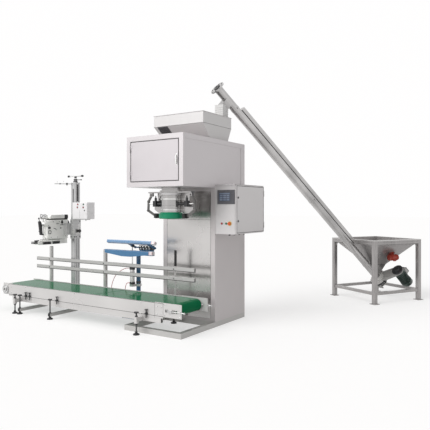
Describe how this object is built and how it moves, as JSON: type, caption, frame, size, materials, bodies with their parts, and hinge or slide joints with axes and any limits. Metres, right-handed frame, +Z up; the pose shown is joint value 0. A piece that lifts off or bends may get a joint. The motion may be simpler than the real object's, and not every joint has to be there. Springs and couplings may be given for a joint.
{
  "type": "bag filling machine",
  "caption": "Open-mouth bag filling machine with weigher housing, spout and bag clamp, belt conveyor, bag sewing column, bag sealer and an inclined screw feeder",
  "frame": {"origin": "on the floor under the centre of the filling machine's base frame", "axes": "+X along the conveyor towards its tail, +Y to the back of the machine, +Z up"},
  "size_m": [5.0552, 4.8392, 3.1605],
  "materials": {
    "brushed_frame": "brushed",
    "housing_grey": "satin",
    "bright_steel": "bright",
    "white_steel": "satin",
    "belt_green": "matte",
    "ring_green": "matte",
    "drum_steel": "turned",
    "black_metal": "matte",
    "head_cream": "gloss",
    "sealer_blue": "gloss",
    "cylinder_alu": "satin",
    "hose_red": "gloss",
    "gear_white": "matte",
    "button_red": "gloss",
    "button_green": "gloss",
    "motor_green": "satin",
    "vibrator_red": "satin"
  },
  "bodies": {
    "machine": {"base_frame": "brushed_frame", "column_shell": "brushed_frame", "column_panels": "brushed_frame", "hopper": "brushed_frame", "feed_chute": "brushed_frame", "screen_panel": "brushed_frame", "housing_shell": "housing_grey", "cabinet_shell": "housing_grey", "spout": "bright_steel", "load_cells": "bright_steel", "conveyor_frame": "white_steel", "guide_rail": "white_steel", "sewing_base": "white_steel", "sewing_column": "white_steel", "feeder_stand": "white_steel", "feeder_hopper": "white_steel", "screw_tube": "white_steel", "conveyor_belt": "belt_green", "spout_ring": "ring_green", "drum_bearings": "drum_steel", "clamp_cylinders": "black_metal", "gate_actuator": "black_metal", "jaw_hinge": "black_metal", "levelling_feet": "black_metal", "lower_jaw": "sealer_blue", "sealer_stand": "sealer_blue", "jaw_cylinder": "cylinder_alu", "air_hose_1": "hose_red", "air_hose_2": "hose_red", "cabinet_gear": "gear_white", "gearmotor": "motor_green", "vibrator": "vibrator_red"},
    "housing_door": {"housing_door": "housing_grey"},
    "door_latch": {"door_latch": "bright_steel"},
    "cabinet_door": {"cabinet_door": "housing_grey"},
    "button_red": {"button_red": "button_red"},
    "button_green": {"button_green": "button_green"},
    "stop_button": {"stop_button": "button_red"},
    "clamp_arm_left": {"clamp_arm_left": "bright_steel"},
    "clamp_arm_right": {"clamp_arm_right": "bright_steel"},
    "clamp_rod_left": {"clamp_rod_left": "bright_steel"},
    "clamp_rod_right": {"clamp_rod_right": "bright_steel"},
    "cutoff_gate": {"cutoff_gate": "bright_steel"},
    "drive_drum": {"drive_drum": "drum_steel"},
    "tail_drum": {"tail_drum": "drum_steel"},
    "return_roller": {"return_roller": "bright_steel"},
    "lead_screw": {"lead_screw": "drum_steel"},
    "handwheel": {"handwheel": "black_metal"},
    "needle_bar": {"needle_bar": "black_metal"},
    "sew_button_1": {"sew_button_1": "button_red"},
    "sew_button_2": {"sew_button_2": "button_red"},
    "sew_button_3": {"sew_button_3": "button_green"},
    "sew_button_4": {"sew_button_4": "button_red"},
    "upper_jaw": {"upper_jaw": "sealer_blue"},
    "jaw_rod": {"jaw_rod": "bright_steel"},
    "auger": {"auger": "bright_steel"},
    "sewing_carriage": {"sewing_carriage": "white_steel", "sewing_head": "head_cream", "throat_plate": "bright_steel", "sewing_box": "white_steel"}
  },
  "joints": [
    {"name": "housing_door_hinge", "type": "hinge", "parent": "machine", "child": "housing_door", "pos_m": [-0.371, -0.6935, 2.05], "axis": [0, 0, -1], "range_deg": [0, 110]},
    {"name": "latch_turn", "type": "hinge", "parent": "housing_door", "child": "door_latch", "pos_m": [0.336, -0.686, 2.053], "axis": [0, 1, 0], "range_deg": [0, 90]},
    {"name": "cabinet_door_hinge", "type": "hinge", "parent": "machine", "child": "cabinet_door", "pos_m": [0.72475, 0.731, 1.475], "axis": [0, 0, 1], "range_deg": [0, 110]},
    {"name": "button_red_press", "type": "slide", "parent": "machine", "child": "button_red", "axis": [0, 1, 0], "range_m": [0, 0.004], "stiffness_N_per_m": 400},
    {"name": "button_green_press", "type": "slide", "parent": "machine", "child": "button_green", "axis": [0, 1, 0], "range_m": [0, 0.004], "stiffness_N_per_m": 400},
    {"name": "stop_button_press", "type": "slide", "parent": "machine", "child": "stop_button", "axis": [0, 1, 0], "range_m": [0, 0.004], "stiffness_N_per_m": 400},
    {"name": "clamp_left_swing", "type": "hinge", "parent": "machine", "child": "clamp_arm_left", "pos_m": [-0.308, -0.355, 1.655], "axis": [0, -1, 0], "range_deg": [0, 13]},
    {"name": "clamp_right_swing", "type": "hinge", "parent": "machine", "child": "clamp_arm_right", "pos_m": [0.308, -0.355, 1.655], "axis": [0, 1, 0], "range_deg": [0, 13]},
    {"name": "clamp_rod_left_stroke", "type": "slide", "parent": "machine", "child": "clamp_rod_left", "axis": [1, 0, 0], "range_m": [0, 0.0258]},
    {"name": "clamp_rod_right_stroke", "type": "slide", "parent": "machine", "child": "clamp_rod_right", "axis": [-1, 0, 0], "range_m": [0, 0.0258]},
    {"name": "gate_turn", "type": "hinge", "parent": "machine", "child": "cutoff_gate", "pos_m": [0, -0.355, 1.83], "axis": [1, 0, 0], "range_deg": [0, 80]},
    {"name": "drive_drum_turn", "type": "hinge", "parent": "machine", "child": "drive_drum", "pos_m": [-2.755, -0.4735, 0.305], "axis": [0, 1, 0], "continuous": true},
    {"name": "tail_drum_turn", "type": "hinge", "parent": "machine", "child": "tail_drum", "pos_m": [0.29, -0.4735, 0.305], "axis": [0, 1, 0], "continuous": true},
    {"name": "return_roller_turn", "type": "hinge", "parent": "machine", "child": "return_roller", "pos_m": [-1.23, -0.4735, 0.1997], "axis": [0, 1, 0], "continuous": true},
    {"name": "carriage_lift", "type": "slide", "parent": "machine", "child": "sewing_carriage", "axis": [0, 0, 1], "range_m": [-0.09, 0.25]},
    {"name": "lead_screw_turn", "type": "hinge", "parent": "machine", "child": "lead_screw", "pos_m": [-2, -0.095, 1.3], "axis": [0, 0, 1], "continuous": true},
    {"name": "handwheel_turn", "type": "hinge", "parent": "sewing_carriage", "child": "handwheel", "pos_m": [-2.2, -0.1, 1.255], "axis": [0, 1, 0], "continuous": true},
    {"name": "needle_bar_stroke", "type": "slide", "parent": "sewing_carriage", "child": "needle_bar", "axis": [0, 0, -1], "range_m": [0, 0.03]},
    {"name": "sew_button_1_press", "type": "slide", "parent": "sewing_carriage", "child": "sew_button_1", "axis": [0, 1, 0], "range_m": [0, 0.003], "stiffness_N_per_m": 300},
    {"name": "sew_button_2_press", "type": "slide", "parent": "sewing_carriage", "child": "sew_button_2", "axis": [0, 1, 0], "range_m": [0, 0.003], "stiffness_N_per_m": 300},
    {"name": "sew_button_3_press", "type": "slide", "parent": "sewing_carriage", "child": "sew_button_3", "axis": [0, 1, 0], "range_m": [0, 0.003], "stiffness_N_per_m": 300},
    {"name": "sew_button_4_press", "type": "slide", "parent": "sewing_carriage", "child": "sew_button_4", "axis": [0, 1, 0], "range_m": [0, 0.003], "stiffness_N_per_m": 300},
    {"name": "upper_jaw_swing", "type": "hinge", "parent": "machine", "child": "upper_jaw", "pos_m": [-0.65, -0.09, 0.955], "axis": [1, 0, 0], "range_deg": [0, 24]},
    {"name": "jaw_rod_stroke", "type": "slide", "parent": "machine", "child": "jaw_rod", "axis": [0, 0, -1], "range_m": [0, 0.0245]},
    {"name": "auger_turn", "type": "hinge", "parent": "machine", "child": "auger", "pos_m": [1.5067, 3.2486, 0.37], "axis": [-0.2997, -0.701, 0.6471], "continuous": true}
  ],
  "couplings": [
    {"joint": "clamp_right_swing", "follows": "clamp_left_swing", "ratio": 1},
    {"joint": "clamp_rod_left_stroke", "follows": "clamp_left_swing", "m_per_rad": 0.1133},
    {"joint": "clamp_rod_right_stroke", "follows": "clamp_left_swing", "m_per_rad": 0.1133},
    {"joint": "tail_drum_turn", "follows": "drive_drum_turn", "ratio": 1},
    {"joint": "return_roller_turn", "follows": "drive_drum_turn", "ratio": -2.44},
    {"joint": "lead_screw_turn", "follows": "carriage_lift", "rad_per_m": 628.32},
    {"joint": "jaw_rod_stroke", "follows": "upper_jaw_swing", "m_per_rad": 0.058}
  ]
}
